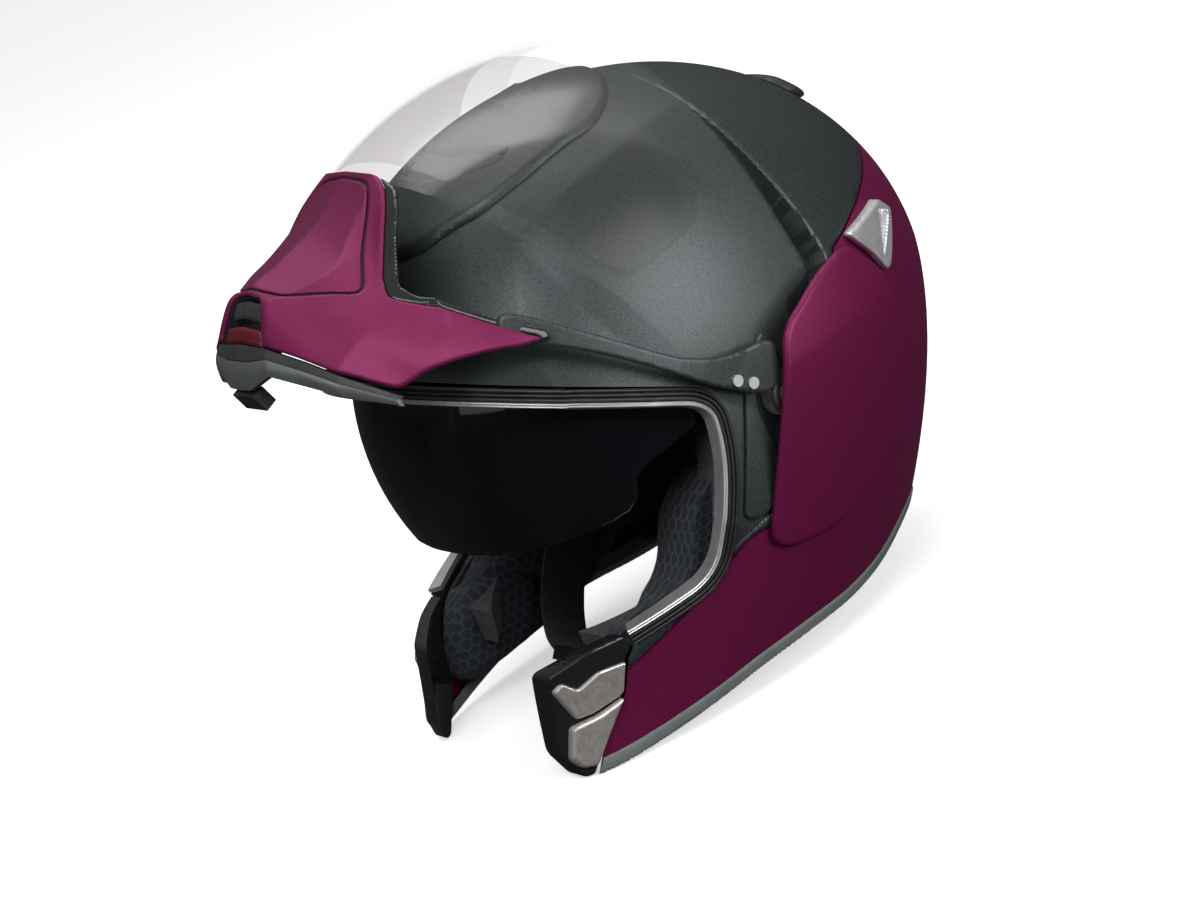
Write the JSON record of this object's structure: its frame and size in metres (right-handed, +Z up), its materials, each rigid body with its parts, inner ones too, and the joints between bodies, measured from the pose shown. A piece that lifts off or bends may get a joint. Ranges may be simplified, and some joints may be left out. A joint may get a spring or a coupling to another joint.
{
  "type": "modular motorcycle helmet",
  "caption": "Full-face motorcycle helmet with the chin bar and clear visor swung up and the inner sun visor lowered, showing pads, latches and chin strap.",
  "frame": {"origin": "centre of the overall box at the level of the lower edge", "axes": "+Z up, -Y to the front of the helmet, +X to the wearer's left"},
  "size_m": [0.2646, 0.3448, 0.2941],
  "materials": {
    "dark_paint": "satin metallic paint",
    "body_paint": "satin metallic paint",
    "edge_rubber": "matt",
    "seal_rubber": "ribbed, matt",
    "bright_metal": "satin bright",
    "foam": "moulded foam",
    "pad_cloth": "honeycomb knit",
    "gloss_black": "gloss",
    "latch_metal": "cast, satin",
    "matte_black": "fine grain",
    "grey_plastic": "satin",
    "red_plastic": "gloss",
    "clear_shield": "clear, hard coated",
    "clear_lens": "clear film",
    "smoke_shield": "dark smoke",
    "webbing": "woven"
  },
  "bodies": {
    "helmet": {"buckle_body": "gloss_black", "buckle_tongue": "grey_plastic", "crown_pad": "pad_cloth", "impact_liner": "foam", "left_cheek_bezel": "gloss_black", "left_cheek_pad": "pad_cloth", "left_corner_trim": "bright_metal", "left_ear_pad": "pad_cloth", "left_hub": "latch_metal", "left_latch_plate": "latch_metal", "left_side_cover": "body_paint", "left_strap": "webbing", "left_striker": "latch_metal", "left_strip_panel": "dark_paint", "lever_track": "matte_black", "lower_shell": "body_paint", "neck_roll": "pad_cloth", "port_bead": "bright_metal", "port_gasket": "seal_rubber", "rear_vent": "matte_black", "right_cheek_bezel": "gloss_black", "right_cheek_pad": "pad_cloth", "right_corner_trim": "bright_metal", "right_ear_pad": "pad_cloth", "right_hub": "latch_metal", "right_latch_plate": "latch_metal", "right_side_cover": "body_paint", "right_strap": "webbing", "right_striker": "latch_metal", "right_strip_panel": "dark_paint", "rim_trim": "edge_rubber", "strap_anchors": "latch_metal", "top_vent": "dark_paint", "upper_shell": "dark_paint"},
    "chin_bar": {"chin_bar_shell": "body_paint", "chin_bar_frame": "matte_black", "chin_bar_foam": "foam", "left_nose_wing": "gloss_black", "right_nose_wing": "gloss_black", "chin_lip": "grey_plastic", "chin_vent_tray": "matte_black", "left_arm": "dark_paint", "right_arm": "dark_paint", "arm_screws": "bright_metal"},
    "visor": {"clear_visor": "clear_shield", "fog_lens": "clear_lens"},
    "sun_visor": {"sun_visor": "smoke_shield"},
    "sun_lever": {"sun_visor_lever": "gloss_black"},
    "vent_slider": {"top_vent_slider": "matte_black"},
    "chin_shutter": {"chin_vent_shutter": "red_plastic"},
    "release": {"release_button": "matte_black"},
    "lever": {"buckle_lever": "gloss_black"}
  },
  "joints": [
    {"name": "chin_bar_flip", "type": "hinge", "parent": "helmet", "child": "chin_bar", "pos_m": [0, 0.02238, 0.128], "axis": [1, 0, 0], "range_deg": [0, 66.5]},
    {"name": "visor_flip", "type": "hinge", "parent": "helmet", "child": "visor", "pos_m": [0, 0.02238, 0.128], "axis": [1, 0, 0], "range_deg": [0, 73]},
    {"name": "sun_visor_drop", "type": "hinge", "parent": "helmet", "child": "sun_visor", "pos_m": [0, 0.01238, 0.14], "axis": [1, 0, 0], "range_deg": [-46, 0]},
    {"name": "sun_lever_slide", "type": "slide", "parent": "helmet", "child": "sun_lever", "axis": [0.3223, 0.9466, 0], "range_m": [0, 0.02]},
    {"name": "top_vent_slide", "type": "slide", "parent": "helmet", "child": "vent_slider", "axis": [0, -0.9959, -0.0904], "range_m": [0, 0.008]},
    {"name": "chin_vent_slide", "type": "slide", "parent": "chin_bar", "child": "chin_shutter", "axis": [0, 0.9171, 0.3987], "range_m": [0, 0.004]},
    {"name": "release_press", "type": "slide", "parent": "chin_bar", "child": "release", "axis": [0, 0.9171, 0.3987], "range_m": [0, 0.003], "stiffness_N_per_m": 400},
    {"name": "buckle_lever_lift", "type": "hinge", "parent": "helmet", "child": "lever", "pos_m": [-0.017, -0.05176, 0.01223], "axis": [0, -0.7902, 0.6129], "range_deg": [-40, 0], "stiffness_Nm_per_rad": 0.05}
  ],
  "couplings": [
    {"joint": "sun_lever_slide", "follows": "sun_visor_drop", "m_per_rad": -0.02488}
  ]
}
